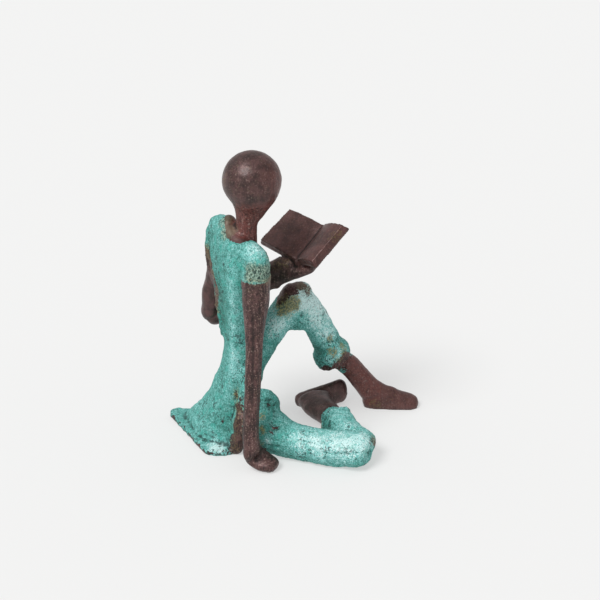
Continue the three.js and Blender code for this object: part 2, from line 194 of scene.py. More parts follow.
RIGHT_FOOT = limb(
    (0.4, -5.4, 4.9, 5.4, 5.6),
    (4.8, -3.4, 4.5, 6.2, 7.6),
    (10, -0.8, 4.5, 5.4, 8.8),
    (15.2, 1.8, 5, 4.6, 9.6),
    side=(-0.4, 0.9, 0),
)

# The parts in clothes
TRUNK = limb(
    (-36, -19.6, -7, 31, 10),
    (-31.4, -21, 0, 27.4, 13.2),
    (-27, -21.4, 7, 23.4, 14.2),
    (-23.9, -21.5, 14.5, 19.6, 13.2),
    (-22, -21.5, 22, 17, 12.2),
    (-20.8, -21.6, 30, 15.3, 11),
    (-20.4, -21.6, 38, 15, 10.4),
    (-21, -21.6, 48, 18.5, 10.8),
    (-22, -22, 58, 23.5, 11.5),
    (-22, -22.8, 67, 28.2, 11.5),
    (-21.2, -23.6, 74.6, 26.4, 9.2),
    side=ACROSS_HIPS,
)
YOKE = limb(
    (-27.1, -14.4, 76.1, 8.4),
    (-24, -19, 76, 8.6),
    (-18.6, -27, 72.4, 8.6),
    (-14.3, -31.6, 72.4, 9),
)
SEAT = limb((-23, -16, 7, 15), (-18, -23, 9, 17.5), (-14, -29, 8, 15))
SLEEVE = limb(
    (-14.1, -32, 73.1, 7.8),
    (-14.3, -32.6, 70.9, 9.2),
    (-14.4, -33.6, 67.1, 9.6),
    (-14.6, -34.8, 62.8, 9.8),
)
LEFT_SLEEVE = limb((-28, -13.4, 74.4, 9), (-28.8, -12.5, 66, 9))
LEFT_THIGH = limb(
    (-20.2, -17.4, 22, 15),
    (-17.6, -15, 26.4, 13),
    (-13.7, -11.8, 30.6, 11.4),
    (-9.6, -8.6, 35.4, 10.4),
    (-5.4, -6.2, 40.4, 10.8),
    (-2.4, -5, 44.2, 11.2),
)
LEFT_TROUSER = limb(
    (0.4, -4, 43.4, 11),
    (3.6, -3.2, 38.4, 10.8),
    (6.6, -2.4, 32.7, 10.3),
    (9, -1.6, 27.2, 10.8),
    (11.8, -0.8, 20.9, 11.5),
)
LEFT_KNEE = limb((-3.6, -6, 45.3, 9, 11), (1, -3.8, 45.5, 9, 11))
LEFT_KNEE_HOLLOW = limb((-3.4, -6.4, 37.8, 8.4), (1.8, -4.2, 36.6, 8.4))
LEFT_CUFF = limb((10, -1.2, 23.8, 12.9), (11.2, -0.9, 21.6, 14), (12.4, -0.6, 19.5, 13.2))
RIGHT_THIGH = limb(
    (-17.5, -29, 10, 17, 18),
    (-12, -33.2, 9.2, 13.8, 17),
    (-5, -36.2, 6.6, 12.4, 13.2),
    (4, -38.8, 5.6, 12, 11.8),
    (13, -41.6, 5.6, 13.2, 12),
    (21, -41.5, 6, 13, 11.6),
    side=AWAY,
)
RIGHT_HIP = limb((-16, -29, 14, 12, 16), (-10.4, -30.6, 14, 9.6, 16), side=AWAY)
RIGHT_CALF = limb((21.6, -39.5, 6, 10.6), (17.6, -34.3, 6, 10.7), (14.6, -27.9, 6, 10.8))
RIGHT_CUFF = limb((15.1, -28.8, 6, 9.9), (13.7, -25.9, 6, 10.2), (12.5, -23.4, 6, 11.2))

CLOTHES = (
    TRUNK,
    YOKE,
    SEAT,
    LEFT_THIGH,
    LEFT_TROUSER,
    LEFT_KNEE,
    LEFT_KNEE_HOLLOW,
    LEFT_CUFF,
    RIGHT_THIGH,
    RIGHT_HIP,
    RIGHT_CALF,
    RIGHT_CUFF,
)

# Corners of the open book
BOOK = {
    "left_top": at(-3.9, 5, 75.5),
    "left_bottom": at(-14.8, -5, 67.4),
    "gutter_top": at(8.6, -7.4, 73.8),
    "gutter_bottom": at(-1.4, -17.4, 64.2),
    "right_top": at(15.2, -19, 79),
    "right_bottom": at(3.9, -28, 68.4),
}
BOOK_REACH = np.array((16.4, 8.9, 4.9))
BOOK_GUTTER = path((7.4, -8.6, 73.2), (3.4, -12.6, 69.4), (-1.2, -17.2, 65))

# The wide neckline, seen from above
COLLAR = path(
    (-25, -17.4, 0),
    (-25, -21.4, 0),
    (-24.4, -25, 0),
    (-22.4, -27.4, 0),
    (-19.8, -29.4, 0),
    (-17.2, -29, 0),
    (-15.2, -27, 0),
    (-13.4, -25.4, 0),
    (-12.6, -20, 0),
    (-16, -17, 0),
    (-21.6, -16, 0),
)

# Ridges and rims
BACK_RIDGE = path(
    (-23.4, -28.7, 73.6),
    (-23.1, -30.6, 67.2),
    (-22.2, -30.8, 60),
    (-22.1, -29.3, 51.9),
    (-22, -28, 43.9),
    (-22.1, -27.5, 36.1),
    (-22.5, -27.9, 28.6),
    (-24, -28.5, 21.2),
    (-25.5, -29.6, 14),
    (-26.9, -31.2, 7),
)
BACK_HOLLOW = path(
    (-26.5, -25.7, 57.7),
    (-26.4, -23.4, 48.2),
    (-26, -22.4, 41.6),
    (-25.6, -22.6, 34.5),
)
LEFT_RIM = path(
    (-31.5, -15, 71.4),
    (-31.3, -15.6, 67.6),
    (-30.2, -18.4, 64),
    (-29, -20.8, 60),
    (-28.3, -21.7, 56.6),
    (-28.7, -18.4, 50),
    (-28.2, -18.5, 45.2),
)
LEFT_SIDE = path(
    (-31.8, -13.4, 68),
    (-31.2, -15.4, 63.6),
    (-30.2, -17.4, 58),
    (-29.8, -15.2, 50),
    (-29.2, -15.6, 44),
)
RIGHT_RIM = path(
    (-20, -29.2, 24),
    (-20.6, -29.8, 18),
    (-20.8, -33, 16),
    (-21, -35.5, 13.4),
    (-21.6, -36, 9),
    (-22, -36, 5.6),
    (-22.4, -36.2, 2.6),
    (-23.6, -36.8, 1.2),
)
RIGHT_SIDE = path(
    (-18.6, -30.6, 24),
    (-18.6, -32.6, 17),
    (-19.4, -35.6, 12),
    (-19.8, -36.4, 7),
    (-20.6, -36.6, 2),
)
HEM_RIM = path(
    (-24.7, -37, 0.8),
    (-29.2, -37, 0.8),
    (-33.5, -34.8, 0.8),
    (-37, -27, 0.8),
    (-41.8, -17.2, 0.8),
    (-46.1, -9.2, 0.9),
    (-44.8, -6.6, 1),
)
ARM_RIDGES = (
    path((-13.9, -38.6, 64.5), (-13.7, -39.8, 60.6), (-13.8, -42.1, 47.1), (-15.1, -46.8, 15.9)),
    path((-12, -38.6, 61), (-12.5, -40.3, 53.5), (-12.9, -42.1, 39.7), (-13.6, -44, 26)),
)
ARM_HOLLOW = path(
    (-15.7, -39.9, 60.6),
    (-15.4, -42.2, 47.1),
    (-15.8, -44.3, 33.4),
    (-16.2, -46.4, 20),
)

# Creases in the cloth
CREASES = (
    crease(
        0.42,
        0.55,
        (3.4, -44.8, 6.2),
        (8.5, -46.8, 6.6),
        (13.4, -47.8, 7.4),
        (18, -48, 7.4),
        (24, -44.6, 7.2),
    ),
    crease(
        0.45,
        0.5,
        (14.6, -27.6, 1.6),
        (8.4, -26.4, 6),
        (8.7, -26.1, 10.2),
        (13.7, -26.2, 11.3),
        (18.6, -27.6, 9.8),
    ),
    crease(0.4, 0.4, (0, -42.7, 9.3), (2.8, -43.6, 9.3), (5.4, -44.2, 9.3)),
    crease(0.4, 0.5, (11.4, -42.4, 11.4), (12.8, -42.8, 11.3), (14.2, -43.6, 11.1)),
    crease(
        0.45,
        0.6,
        (-13, -30.3, 21.8),
        (-12, -32.6, 20.6),
        (-10.4, -34, 18.4),
        (-8.9, -34.2, 16.9),
    ),
    crease(0.4, 0.5, (-12.9, -32.6, 20.4), (-11.8, -33.8, 19), (-11.4, -34.8, 17.4)),
    crease(0.45, 0.6, (-9.4, -32.2, 20.4), (-10.4, -33.4, 19.4), (-10.8, -34.2, 18.4)),
    crease(0.4, 0.4, (-8.2, -32.4, 19), (-8.8, -33.6, 18), (-8.4, -34.4, 16.4)),
    crease(0.6, 0.6, (-10.9, -39.7, 12.6), (-8.5, -40.3, 11.8), (-6.5, -39.2, 12.7)),
    crease(0.4, 0.5, (-12.6, -39, 9.6), (-10.6, -40.8, 8.8), (-8.4, -41.2, 8.6), (-6, -41.4, 9.2)),
    crease(0.4, 0.5, (-12, -39.6, 7), (-9.4, -41.2, 6.4), (-6.4, -42, 6.4)),
    crease(0.4, 0.4, (-9.2, -39.7, 5.6), (-7, -40.4, 5), (-4, -41.4, 4.8)),
    crease(0.45, 0.5, (23.3, -42.8, 9.7), (24.6, -41, 8.2), (25.2, -39.5, 6.6)),
    crease(0.4, 0.45, (22.3, -45.6, 6.6), (23.6, -44.6, 5), (22, -46, 3.8)),
    crease(0.5, 0.5, (-2.1, -10.2, 39.8), (0, -9.4, 37.9), (2.1, -8.1, 34.9)),
    crease(0.4, 0.25, (4.2, -7.3, 45.4), (6.3, -6.9, 41.7), (7.7, -6.8, 37.4), (9.9, -6.1, 32.4)),
    crease(0.45, 0.35, (1.4, -8.4, 39), (3.5, -7.8, 34.8), (5.6, -7, 29.7)),
    crease(0.35, 0.3, (4, -8.2, 38), (6.4, -7.4, 33.6), (8.4, -7.2, 30)),
    crease(
        0.6,
        0.45,
        (5.7, -4, 24.5),
        (6.6, -5.6, 26.6),
        (8.4, -7.2, 28.2),
        (11.7, -5.6, 28.6),
        (15.3, -2.1, 27.2),
    ),
    crease(0.35, 0.5, (-15, -34.8, 73.7), (-13.7, -34, 74.1), (-12.4, -32.6, 73.8)),
    crease(0.35, 0.5, (-14, -36.3, 71.9), (-12.4, -35.3, 72.2), (-11.4, -35, 71.3)),
    crease(0.35, 0.5, (-12.7, -37, 69.7), (-11.1, -36.4, 68), (-10.5, -35.9, 67)),
    crease(0.35, 0.4, (-16.3, -36.7, 70.6), (-15.5, -37.2, 70.2), (-14.7, -37.5, 69.6)),
    crease(0.35, 0.4, (-17.6, -36.3, 69.7), (-17.2, -37, 69), (-16.6, -37.6, 68.2)),
    crease(0.5, 0.3, (10.4, -27.6, 10), (13, -29.4, 11), (15.5, -29.8, 11.4), (18.4, -27.8, 10.6)),
    crease(0.4, 0.35, (-27.9, -29.6, 10.4), (-26.9, -30.3, 9.7), (-25.6, -31.2, 9)),
    crease(0.5, 0.3, (-40.5, -12, 2.6), (-37.4, -15.6, 4.6), (-35, -18.4, 6)),
    crease(0.9, 0.5, (-17.4, -16.4, 64), (-15.4, -15, 52), (-16, -14, 40)),
    crease(0.9, 0.4, (-24, -12.8, 62), (-22, -13.4, 52), (-20, -13.6, 42)),
    crease(0.6, 0.4, (2.6, 2, 41), (6.4, 2.6, 35), (10, 4, 28)),
    crease(0.6, 0.35, (-8, -2.2, 39), (-4, 0.4, 42), (0, 1.6, 44)),
)
FAINT_VALLEYS = (
    crease(1.0, 0.4, (-17.4, -31.3, 75.4), (-17.6, -34.8, 72.7), (-18.3, -35.8, 68.8)),
    crease(1.0, 0.25, (-12, -40.6, 9), (-6, -41.4, 6.4), (0, -42.6, 6.2)),
    crease(0.9, 0.3, (16.5, -30, 11.3), (19, -35, 11.4), (20.4, -40, 11.5)),
)

# Rims that stand up from the skin, as (places, rise)
RAISED_RIMS = ((LEFT_RIM, 0.35), (RIGHT_RIM, 0.4), (HEM_RIM, 0.25))

# Strips worn down to the metal, as (places, width)
WORN_STRIPS = (
    (LEFT_RIM, 1.7),
    (LEFT_SIDE, 2.2),
    (RIGHT_RIM, 1.8),
    (RIGHT_SIDE, 2.0),
    (HEM_RIM, 0.6),
)

# How grainy the metal of each bare part is, and how strongly its painted glints show, from 0 to 1
GRAIN_AND_GLINT = {
    "head": 0.45,
    "neck": 1.0,
    "right_arm": 1.0,
    "right_hand": 0.9,
    "left_hand": 0.7,
    "left_shin": 0.5,
    "left_foot": 0.35,
    "right_foot": 0.3,
    "book": 0.3,
}

# Round patches of each finish and of painted light and shade, as (place, radius, strength)
WORN = (
    (at(-5.8, -7.4, 48.6), 3.4, 1.0),
    (at(-3.5, -6.9, 50.2), 3.4, 1.0),
    (at(-7.2, -8, 46.6), 2.4, 0.9),
    (at(-1, -5.8, 50.8), 3, 0.85),
    (at(1.2, -6, 50.2), 2.6, 0.6),
    (at(3, -6.6, 48.8), 2.4, 0.5),
    (at(25.2, -39.5, 6.6), 2.0, 0.5),
    (at(23.6, -43, 8.6), 1.3, 0.5),
    (at(-10.6, -33.8, 18.8), 1.1, 0.55),
    (at(-9.2, -40.2, 12), 1.2, 0.8),
    (at(-7.4, -39.8, 12.4), 0.9, 0.7),
    (at(-26.9, -30.4, 9.7), 1.3, 0.5),
    (at(-22.2, -36, 4.4), 3.2, 0.95),
    (at(-21, -36, 1.8), 3, 0.95),
    (at(9.6, -6, 18), 2.6, 0.8),
    (at(12.6, -4.6, 16.6), 2.4, 0.8),
    (at(16.4, -5.4, 21.4), 2.8, 1.0),
    (at(15, -6.8, 18.8), 3.2, 1.0),
    (at(16.4, -2.4, 19.4), 3.4, 1.0),
    (at(13.4, -6.8, 18.2), 2.8, 1.0),
)
OLIVE = (
    (at(-5, -10.4, 44.8), 3.6, 1.0),
    (at(-2.4, -10, 45.4), 2.8, 0.9),
    (at(-7, -9.8, 44), 2.4, 0.7),
    (at(10.6, -6.3, 29.7), 1.5, 0.6),
    (at(11.3, -6.8, 24.9), 1.7, 0.65),
    (at(15.6, -5.5, 24.2), 1.9, 0.6),
    (at(15.3, -4.1, 26.3), 1.6, 0.55),
    (at(14.2, -7, 21.8), 1.6, 0.6),
    (at(-13, -39.1, 11.5), 1.8, 0.6),
    (at(-13, -37, 15.9), 1.6, 0.5),
    (at(-12.6, -38.6, 7), 1.6, 0.5),
    (at(-20.6, -29.8, 19.5), 1.8, 0.7),
    (at(-20.8, -34, 14), 1.6, 0.6),
    (at(-7.5, -14.2, 62), 2.6, 0.5),
    (at(-4.8, -15, 63.2), 2.0, 0.5),
    (at(12.3, -20.8, 75.2), 2.6, 0.5),
    (at(-24.8, -24, 97), 3.4, 0.35),
    (at(27.1, -3.9, 1.9), 2.2, 0.6),
)
DUSTY = (
    (at(-23.9, -23.4, 78.5), 3.2, 0.6),
    (at(-24.6, -20, 80.3), 2.6, 0.5),
    (at(0.6, -6.2, 50.2), 2.2, 0.6),
    (at(2.8, -6.4, 49.2), 1.8, 0.5),
    (at(-11.4, -32, 72.6), 3, 0.4),
    (at(25, -40, 7), 2.2, 0.6),
    (at(-14.4, -26.6, 86.9), 0.9, 0.8),
)
# Pale patches: partly paler patina, partly painted light on the tops of the knee, thighs and
# shoulder, and a painted highlight on the hem
PALE_AND_LIT = (
    (at(3.4, -7.6, 46), 7, 1.1),
    (at(6, -7.2, 40), 7, 1.0),
    (at(-2, -10, 42), 5, 0.8),
    (at(-7, -12, 38), 6, 0.7),
    (at(9.2, -6.6, 33), 5.4, 0.7),
    (at(12.6, -7.4, 23), 4, 0.5),
    (at(-14, -34, 75.6), 4, 0.4),
    (at(1, -43, 8.6), 5, 0.55),
    (at(6, -45, 9), 5.5, 0.7),
    (at(14, -47, 9.5), 6.5, 0.75),
    (at(21, -45, 9), 5, 0.65),
    (at(13, -27, 10.6), 4, 0.3),
    (at(18, -36, 11.4), 5, 0.3),
    (at(-28.3, -34.4, 2.1), 3, 0.9),
    (at(-30.4, -33, 2.1), 2.4, 0.6),
    (at(-25.9, -33.7, 2.1), 2, 0.6),
    (at(-10.9, -39.9, 7.9), 1.6, 0.8),
)
# Painted shade: darker patches on faces turned from the light and in the recesses under the knee,
# hip and cuffs
PAINTED_SHADE_PATCHES = (
    (at(-27.4, -22, 56), 5, 0.6),
    (at(-27, -20.6, 46), 5, 0.6),
    (at(-20, -31, 40), 5, 0.2),
    (at(0, -9, 37.6), 3.6, 0.5),
    (at(6.4, -6.6, 24), 3.4, 0.5),
    (at(-10, -31, 17.5), 4, 0.5),
    (at(-9.6, -38, 13), 3, 0.4),
    (at(10.6, -28.4, 9), 3, 0.4),
    (at(-26.2, -30.6, 10.6), 3.4, 0.3),
    (at(-12, -10, 32), 5, 0.2),
)

# Round pulls that bring the big forms to their outline, as (place, reach, offset)
PULLS = (
    (at(-29, -17, 79), 4.5, (0, 0, -1)),
    (at(-23.2, -18, 79), 4, (0, 0, 1.8)),
    (at(-20.6, -35.4, 3), 4.5, (1.1, 0, 0)),
    (at(-12, -30.8, 75.6), 4, (-0.5, 0, -0.5)),
    (at(-32.6, -12.5, 50), 6, (-0.7, 0, 0)),
    (at(-30, -11.8, 38.8), 4, (0, 0, 1.1)),
    (at(-29.4, -20.2, 20), 6, (-0.7, 0, 0)),
    (at(-17.2, -47.8, 5), 5, (-1, -0.9, -0.4)),
    (at(18.5, -47.6, 3.6), 6, (0, -1.1, 0)),
    (at(24.4, -45.6, 6), 4, (-1.2, 0.6, 0)),
    (at(12, -47.2, 3), 4.5, (0, 0.6, 0)),
)


# Curves, falloffs and grain


def unit(vector):
    return vector / np.linalg.norm(vector)


def smooth_path(places, per_span=6):
    """Points on a smooth curve through the places."""
    p = np.asarray(places, float)
    padded = np.vstack((2 * p[0] - p[1], p, 2 * p[-1] - p[-2]))
    curve = []
    for i in range(1, len(padded) - 2):
        a, b, c, d = padded[i - 1:i + 3]
        for t in np.arange(per_span) / per_span:
            square = (2 * a - 5 * b + 4 * c - d) * t**2
            cube = (3 * b - a - 3 * c + d) * t**3
            curve.append((2 * b + (c - a) * t + square + cube) / 2)
    curve.append(p[-1])
    return np.array(curve)


def ring(centre, axis, radius, count=14):
    """A closed path round a limb."""
    axis = unit(np.array(axis, float))
    side = unit(np.cross(axis, (0.31, 0.82, 0.48)))
    other = np.cross(axis, side)
    turns = np.linspace(0, 2 * math.pi, count + 1)
    return [centre + radius * (math.cos(t) * side + math.sin(t) * other) for t in turns]


SLEEVE_END = ring(at(-14.3, -33.4, SLEEVE_END_HEIGHT + 1.6), (0.02, 0.27, 0.96), 4.9)
LEFT_CUFF_RIM = ring(at(12.5, -0.6, 19.3), (0.47, 0.12, -0.87), 6.5)
RIGHT_CUFF_RIM = ring(at(12.3, -22.9, 6), (-0.41, 0.91, 0), 6)
RIGHT_CUFF_FOLD = ring(at(13.2, -24.9, 6), (-0.41, 0.91, 0), 6.2)


def fade(distance, reach):
    """1 at no distance, falling smoothly to 0 at the reach."""
    t = np.clip(1 - distance / reach, 0, 1)
    return t * t * (3 - 2 * t)


def step(values, low, high):
    """0 below low and 1 above high, smoothly between; low may be the larger."""
    t = np.clip((values - low) / (high - low), 0, 1)
    return t * t * (3 - 2 * t)


def along(points, route):
    """Each point's distance from a route, and how far along it its nearest place is, 0 to 1."""
    route = np.asarray(route, float)
    spans = route[1:] - route[:-1]
    lengths = np.linalg.norm(spans, axis=1)
    total = lengths.sum()
    best = np.full(len(points), np.inf)
    share = np.zeros(len(points))
    before = 0.0
    for start, span, length in zip(route, spans, lengths):
        t = np.clip((points - start) @ span / length**2, 0, 1)
        gap = np.linalg.norm(points - start - t[:, None] * span, axis=1)
        nearer = gap < best
        share = np.where(nearer, (before + t * length) / total, share)
        best = np.minimum(best, gap)
        before += length
    return best, share


def stroke(points, places, width, taper=0.15):
    """How strongly a stroke along the places covers each point, with both ends fading out."""
    gap, share = along(points, smooth_path(places))
    ends = np.minimum(share, 1 - share) / taper if taper else np.ones(len(points))
    return np.exp(-((gap / width) ** 2)) * np.clip(ends, 0, 1)


def spots(points, patches, soft=0.6):
    """The strongest of some round patches at each point, each with a soft edge."""
    best = np.zeros(len(points))
    for place, radius, strength in patches:
        gap = np.linalg.norm(points - place, axis=1)
        best = np.maximum(best, strength * step(gap, radius * (1 + soft), radius * (1 - soft)))
    return best


def grain(points, size, seed, octaves=3):
    """Smooth random relief between about -1 and 1 at each point, with features of that size."""
    shift = Vector((seed * 17.3, seed * 5.1, seed * 9.7))
    return np.array(
        [noise.fractal(Vector(p) / size + shift, 1.0, 2.0, octaves) for p in points]
    )


def wandering(points, size, reach, seed):
    """The points moved about a little, which gives what is painted there an uneven edge."""
    shift = Vector((seed * 3.7, seed * 11.9, seed * 7.3))
    return points + reach * np.array([noise.noise_vector(Vector(p) / size + shift) for p in points])


def outside_limb(points, shape):
    """About how far each point is outside a limb of oval sections."""
    stations, side = shape
    best = np.full(len(points), np.inf)
    for (start, across, deep), (end, next_across, next_deep) in zip(stations, stations[1:]):
        span = end - start
        length = np.linalg.norm(span)
        axis = span / length
        out = unit(side - axis * (side @ axis))
        place = points - start
        t = np.clip(place @ axis / length, 0, 1)
        half_across = (across + t * (next_across - across)) / 2
        half_deep = (deep + t * (next_deep - deep)) / 2
        least = np.minimum(half_across, half_deep)
        parts = (
            place @ out / half_across,
            place @ np.cross(axis, out) / half_deep,
            (place @ axis - t * length) / least,
        )
        best = np.minimum(best, (np.sqrt(sum(part**2 for part in parts)) - 1) * least)
    return best


def nearest(points, shapes):
    """How far each point is outside the nearest of some limbs."""
    return np.minimum.reduce([outside_limb(points, shape) for shape in shapes])


def strongest(*layers):
    """The highest of some values at each point."""
    return np.maximum.reduce(layers)


def outside_outline(points, outline):
    """How far each point is outside a closed outline seen from above; below 0 inside."""
    flat = points * (1, 1, 0)
    closed = [corner * (1, 1, 0) for corner in outline + outline[:1]]
    gap, _ = along(flat, closed)
    inside = np.zeros(len(points), bool)
    for (ax, ay, _), (bx, by, _) in zip(closed, closed[1:]):
        crosses = (ay > flat[:, 1]) != (by > flat[:, 1])
        where = ax + (bx - ax) * (flat[:, 1] - ay) / (by - ay if by != ay else 1)
        inside ^= crosses & (flat[:, 0] < where)
    return np.where(inside, -gap, gap)


def outside_book(points):
    """How far each point is outside the plain box that holds the book."""
    spine = unit(BOOK["gutter_top"] - BOOK["gutter_bottom"])
    across = unit(BOOK["right_top"] - BOOK["left_top"])
    facing = unit(np.cross(across, spine))
    place = points - sum(BOOK.values()) / len(BOOK)
    local = np.stack((place @ across, place @ spine, place @ facing), axis=1)
    return (np.abs(local) - BOOK_REACH).max(axis=1)


# The skin and the tools that work it


class Clay:
    """A skin of small even faces, in millimetres."""

    def __init__(self, mesh):
        self.mesh = mesh
        self.points = self.read("co")
        ends = np.empty(len(mesh.edges) * 2, np.int32)
        mesh.edges.foreach_get("vertices", ends)
        self.ends = ends.reshape(-1, 2)
        self.degree = np.bincount(ends, minlength=len(self.points))

    def read(self, what):
        values = np.empty(len(self.mesh.vertices) * 3, np.float32)
        self.mesh.vertices.foreach_get(what, values)
        return values.reshape(-1, 3).astype(float)

    def write(self):
        self.mesh.vertices.foreach_set("co", self.points.astype(np.float32).ravel())
        self.mesh.update()

    def normals(self):
        self.write()
        return self.read("normal")

    def around(self, values):
        """The mean of each point's neighbours."""
        columns = values.reshape(len(self.points), -1)
        total = np.empty_like(columns)
        first, second = self.ends.T
        for k in range(columns.shape[1]):
            column = columns[:, k]
            total[:, k] = np.bincount(first, column[second], len(column))
            total[:, k] += np.bincount(second, column[first], len(column))
        return (total / self.degree[:, None]).reshape(values.shape)

    def blurred(self, values, rounds, share=0.7):
        weight = share[:, None] if np.ndim(share) and values.ndim > 1 else share
        for _ in range(rounds):
            values = values + weight * (self.around(values) - values)
        return values

    def smooth(self, rounds, share):
        """Softens the forms and then gives back what the softening took from their girth."""
        once = self.blurred(self.points, rounds, share)
        twice = self.blurred(once, rounds, share)
        thrice = self.blurred(twice, rounds, share)
        self.points = 3 * once - 3 * twice + thrice

    def raise_by(self, height):
        """Moves the skin outwards by a height for each point."""
        self.points = self.points + height[:, None] * self.normals()

    def grab(self, place, reach, by):
        """Pulls a round patch of the skin by an offset."""
        pull = fade(np.linalg.norm(self.points - place, axis=1), reach)
        self.points = self.points + pull[:, None] * np.array(by, float)


def ball(centre, radius, around=64, rings=40):
    """Points and faces of a round ball."""
    points, faces = [centre + (0, 0, radius)], []
    for i in range(1, rings):
        tilt = math.pi * i / rings
        for j in range(around):
            turn = 2 * math.pi * j / around
            place = math.sin(tilt) * math.cos(turn), math.sin(tilt) * math.sin(turn), math.cos(tilt)
            points.append(centre + radius * np.array(place))
    points.append(centre - (0, 0, radius))
    last = len(points) - 1
    for j in range(around):
        after = (j + 1) % around
        faces.append((0, 1 + j, 1 + after))
        faces.append((last, last - around + after, last - around + j))
        for i in range(rings - 2):
            a, b = 1 + i * around + j, 1 + i * around + after
            faces.append((a, a + around, b + around, b))
    return points, faces


def drop_crumbs(mesh):
    """Deletes what isn't joined to the skin's lowest point, such as bubbles shut inside it."""
    work = bmesh.new()
    work.from_mesh(mesh)
    lowest = min(work.verts, key=lambda vert: vert.co.z)
    reached = {lowest}
    front = [lowest]
    while front:
        vert = front.pop()
        for edge in vert.link_edges:
            other = edge.other_vert(vert)
            if other not in reached:
                reached.add(other)
                front.append(other)
    crumbs = [vert for vert in work.verts if vert not in reached]
    bmesh.ops.delete(work, geom=crumbs, context="VERTS")
    work.to_mesh(mesh)
    work.free()


def even_skin(solid, extra_forms, cell):
    """The solid and the extra forms as one mesh of even faces, in millimetres."""
    work = bmesh.new()
    work.from_mesh(solid.data)
    bmesh.ops.transform(work, matrix=Matrix.Scale(1 / MM, 4), verts=work.verts)
    bmesh.ops.remove_doubles(work, verts=work.verts, dist=1e-4)
    for points, faces in extra_forms:
        made = [work.verts.new(p) for p in points]
        for face in faces:
            work.faces.new([made[i] for i in face])
    rough = bpy.data.meshes.new("rough_skin")
    work.to_mesh(rough)
    work.free()
    holder = bpy.data.objects.new("rough_skin", rough)
    bpy.context.scene.collection.objects.link(holder)
    remesh = holder.modifiers.new("even", "REMESH")
    remesh.mode = "VOXEL"
    remesh.voxel_size = cell
    bpy.context.view_layer.update()
    ready = holder.evaluated_get(bpy.context.evaluated_depsgraph_get())
    even = bpy.data.meshes.new_from_object(ready)
    bpy.data.objects.remove(holder)
    bpy.data.meshes.remove(rough)
    drop_crumbs(even)
    return even


# Where the bare metal and the clothes are


def bare_parts(points):
    """How far each point is outside each bare part, by name."""
    height = points[:, 2]
    arm = outside_limb(points, RIGHT_ARM)
    upper = np.maximum(outside_limb(points, LEFT_UPPER_ARM), height - LEFT_SLEEVE_END_HEIGHT)
    return {
        "head": np.linalg.norm(points - HEAD, axis=1) - HEAD_ACROSS / 2,
        "neck": np.maximum(outside_limb(points, NECK), COLLAR_LOW + 4 - height),
        "right_arm": np.maximum(arm, height - SLEEVE_END_HEIGHT),
        "right_hand": outside_limb(points, RIGHT_HAND),
        "left_arm": np.minimum(upper, outside_limb(points, LEFT_FOREARM)),
        "left_hand": nearest(points, (LEFT_HAND, LEFT_HAND_BACK, LEFT_FINGERS)),
        "left_shin": outside_limb(points, LEFT_SHIN),
        "left_foot": outside_limb(points, LEFT_FOOT),
        "right_foot": nearest(points, (RIGHT_ANKLE, RIGHT_FOOT)),
        "book": outside_book(points) + 0.6,
    }


def bare_metal(points):
    """1 where the child and the book are bare, and 0 on the clothes."""
    height = points[:, 2]
    flesh = np.minimum.reduce(list(bare_parts(points).values()))
    sleeve = np.maximum(outside_limb(points, SLEEVE), SLEEVE_END_HEIGHT - height)
    left_sleeve = np.maximum(outside_limb(points, LEFT_SLEEVE), LEFT_SLEEVE_END_HEIGHT - height)
    hem = np.maximum(height - HEM_TOP, points[:, 0] - SKIRT_BACK)
    cloth = np.minimum.reduce([nearest(points, CLOTHES), sleeve, left_sleeve, hem])
    bare = step(cloth - flesh, -0.25, 0.35)
    collar = step(outside_outline(points, COLLAR), 0.3, -0.3)
    return np.maximum(bare, collar * step(height, COLLAR_LOW, COLLAR_LOW + 2))


# Modelling


def softness(points):
    """How freely the smoothing may round each part: crisp for the book, hem and rims."""
    share = np.full(len(points), 0.7)
    share *= 1 - 0.85 * step(outside_book(points), 1.0, -0.5)
    on_hem = step(points[:, 0], SKIRT_BACK, HEM_EDGE)
    share *= 1 - 0.9 * fade(np.maximum(points[:, 2] - 1.0, 0), 2.5) * on_hem
    for rim in (LEFT_CUFF_RIM, RIGHT_CUFF_RIM):
        share *= 1 - 0.8 * fade(along(points, rim)[0], 2.4)
    foot = nearest(points, (RIGHT_ANKLE, RIGHT_FOOT, LEFT_FOOT))
    return share * (1 - 0.45 * step(foot, 1.0, 0))


def relief(clay, bare):
    """Folds, ridges and creases, as a height for each point."""
    points = clay.points
    cloth = 1 - bare
    height = 0.6 * cloth * stroke(points, BACK_RIDGE, 1.9, 0.1)
    height -= 0.45 * cloth * stroke(points, BACK_HOLLOW, 1.7)
    for rim, rise in RAISED_RIMS:
        height += rise * (1 + grain(points, 1.2, 21)) * stroke(points, rim, 0.8, 0.08)
    for ridge in ARM_RIDGES:
        height += 0.4 * bare * stroke(points, ridge, 0.7)
    height -= 0.3 * bare * stroke(points, ARM_HOLLOW, 0.7)
    wander = wandering(points, 1.6, 0.35, 2)
    for places, width, depth in CREASES + FAINT_VALLEYS:
        height -= depth * stroke(wander, places, width, 0.25)
    height -= 0.3 * stroke(points, BOOK_GUTTER, 0.7, 0.2)
    height += 0.45 * stroke(points, RIGHT_CUFF_RIM, 0.7, 0)
    height -= 0.5 * stroke(wander, RIGHT_CUFF_FOLD, 0.7, 0)
    height += 0.25 * stroke(points, LEFT_CUFF_RIM, 0.8, 0)
    height += cloth * 0.22 * grain(points, 4.5, 13, 2)
    height += cloth * (0.16 * grain(points, 1.8, 3) + 0.1 * grain(points, 0.8, 5, 2))
    height += bare * (0.1 * grain(points, 3.6, 7, 2) + 0.035 * grain(points, 0.9, 9, 2))
    return height


def hollows(clay):
    """Above 0 in creases and below 0 on edges, from -1 to 1."""
    normals = clay.normals()
    fine = ((clay.blurred(clay.points, FINE_ROUNDS) - clay.points) * normals).sum(axis=1)
    broad = ((clay.blurred(clay.points, BROAD_ROUNDS) - clay.points) * normals).sum(axis=1)
    return np.clip(FINE_GAIN * fine + BROAD_GAIN * broad, -1, 1)


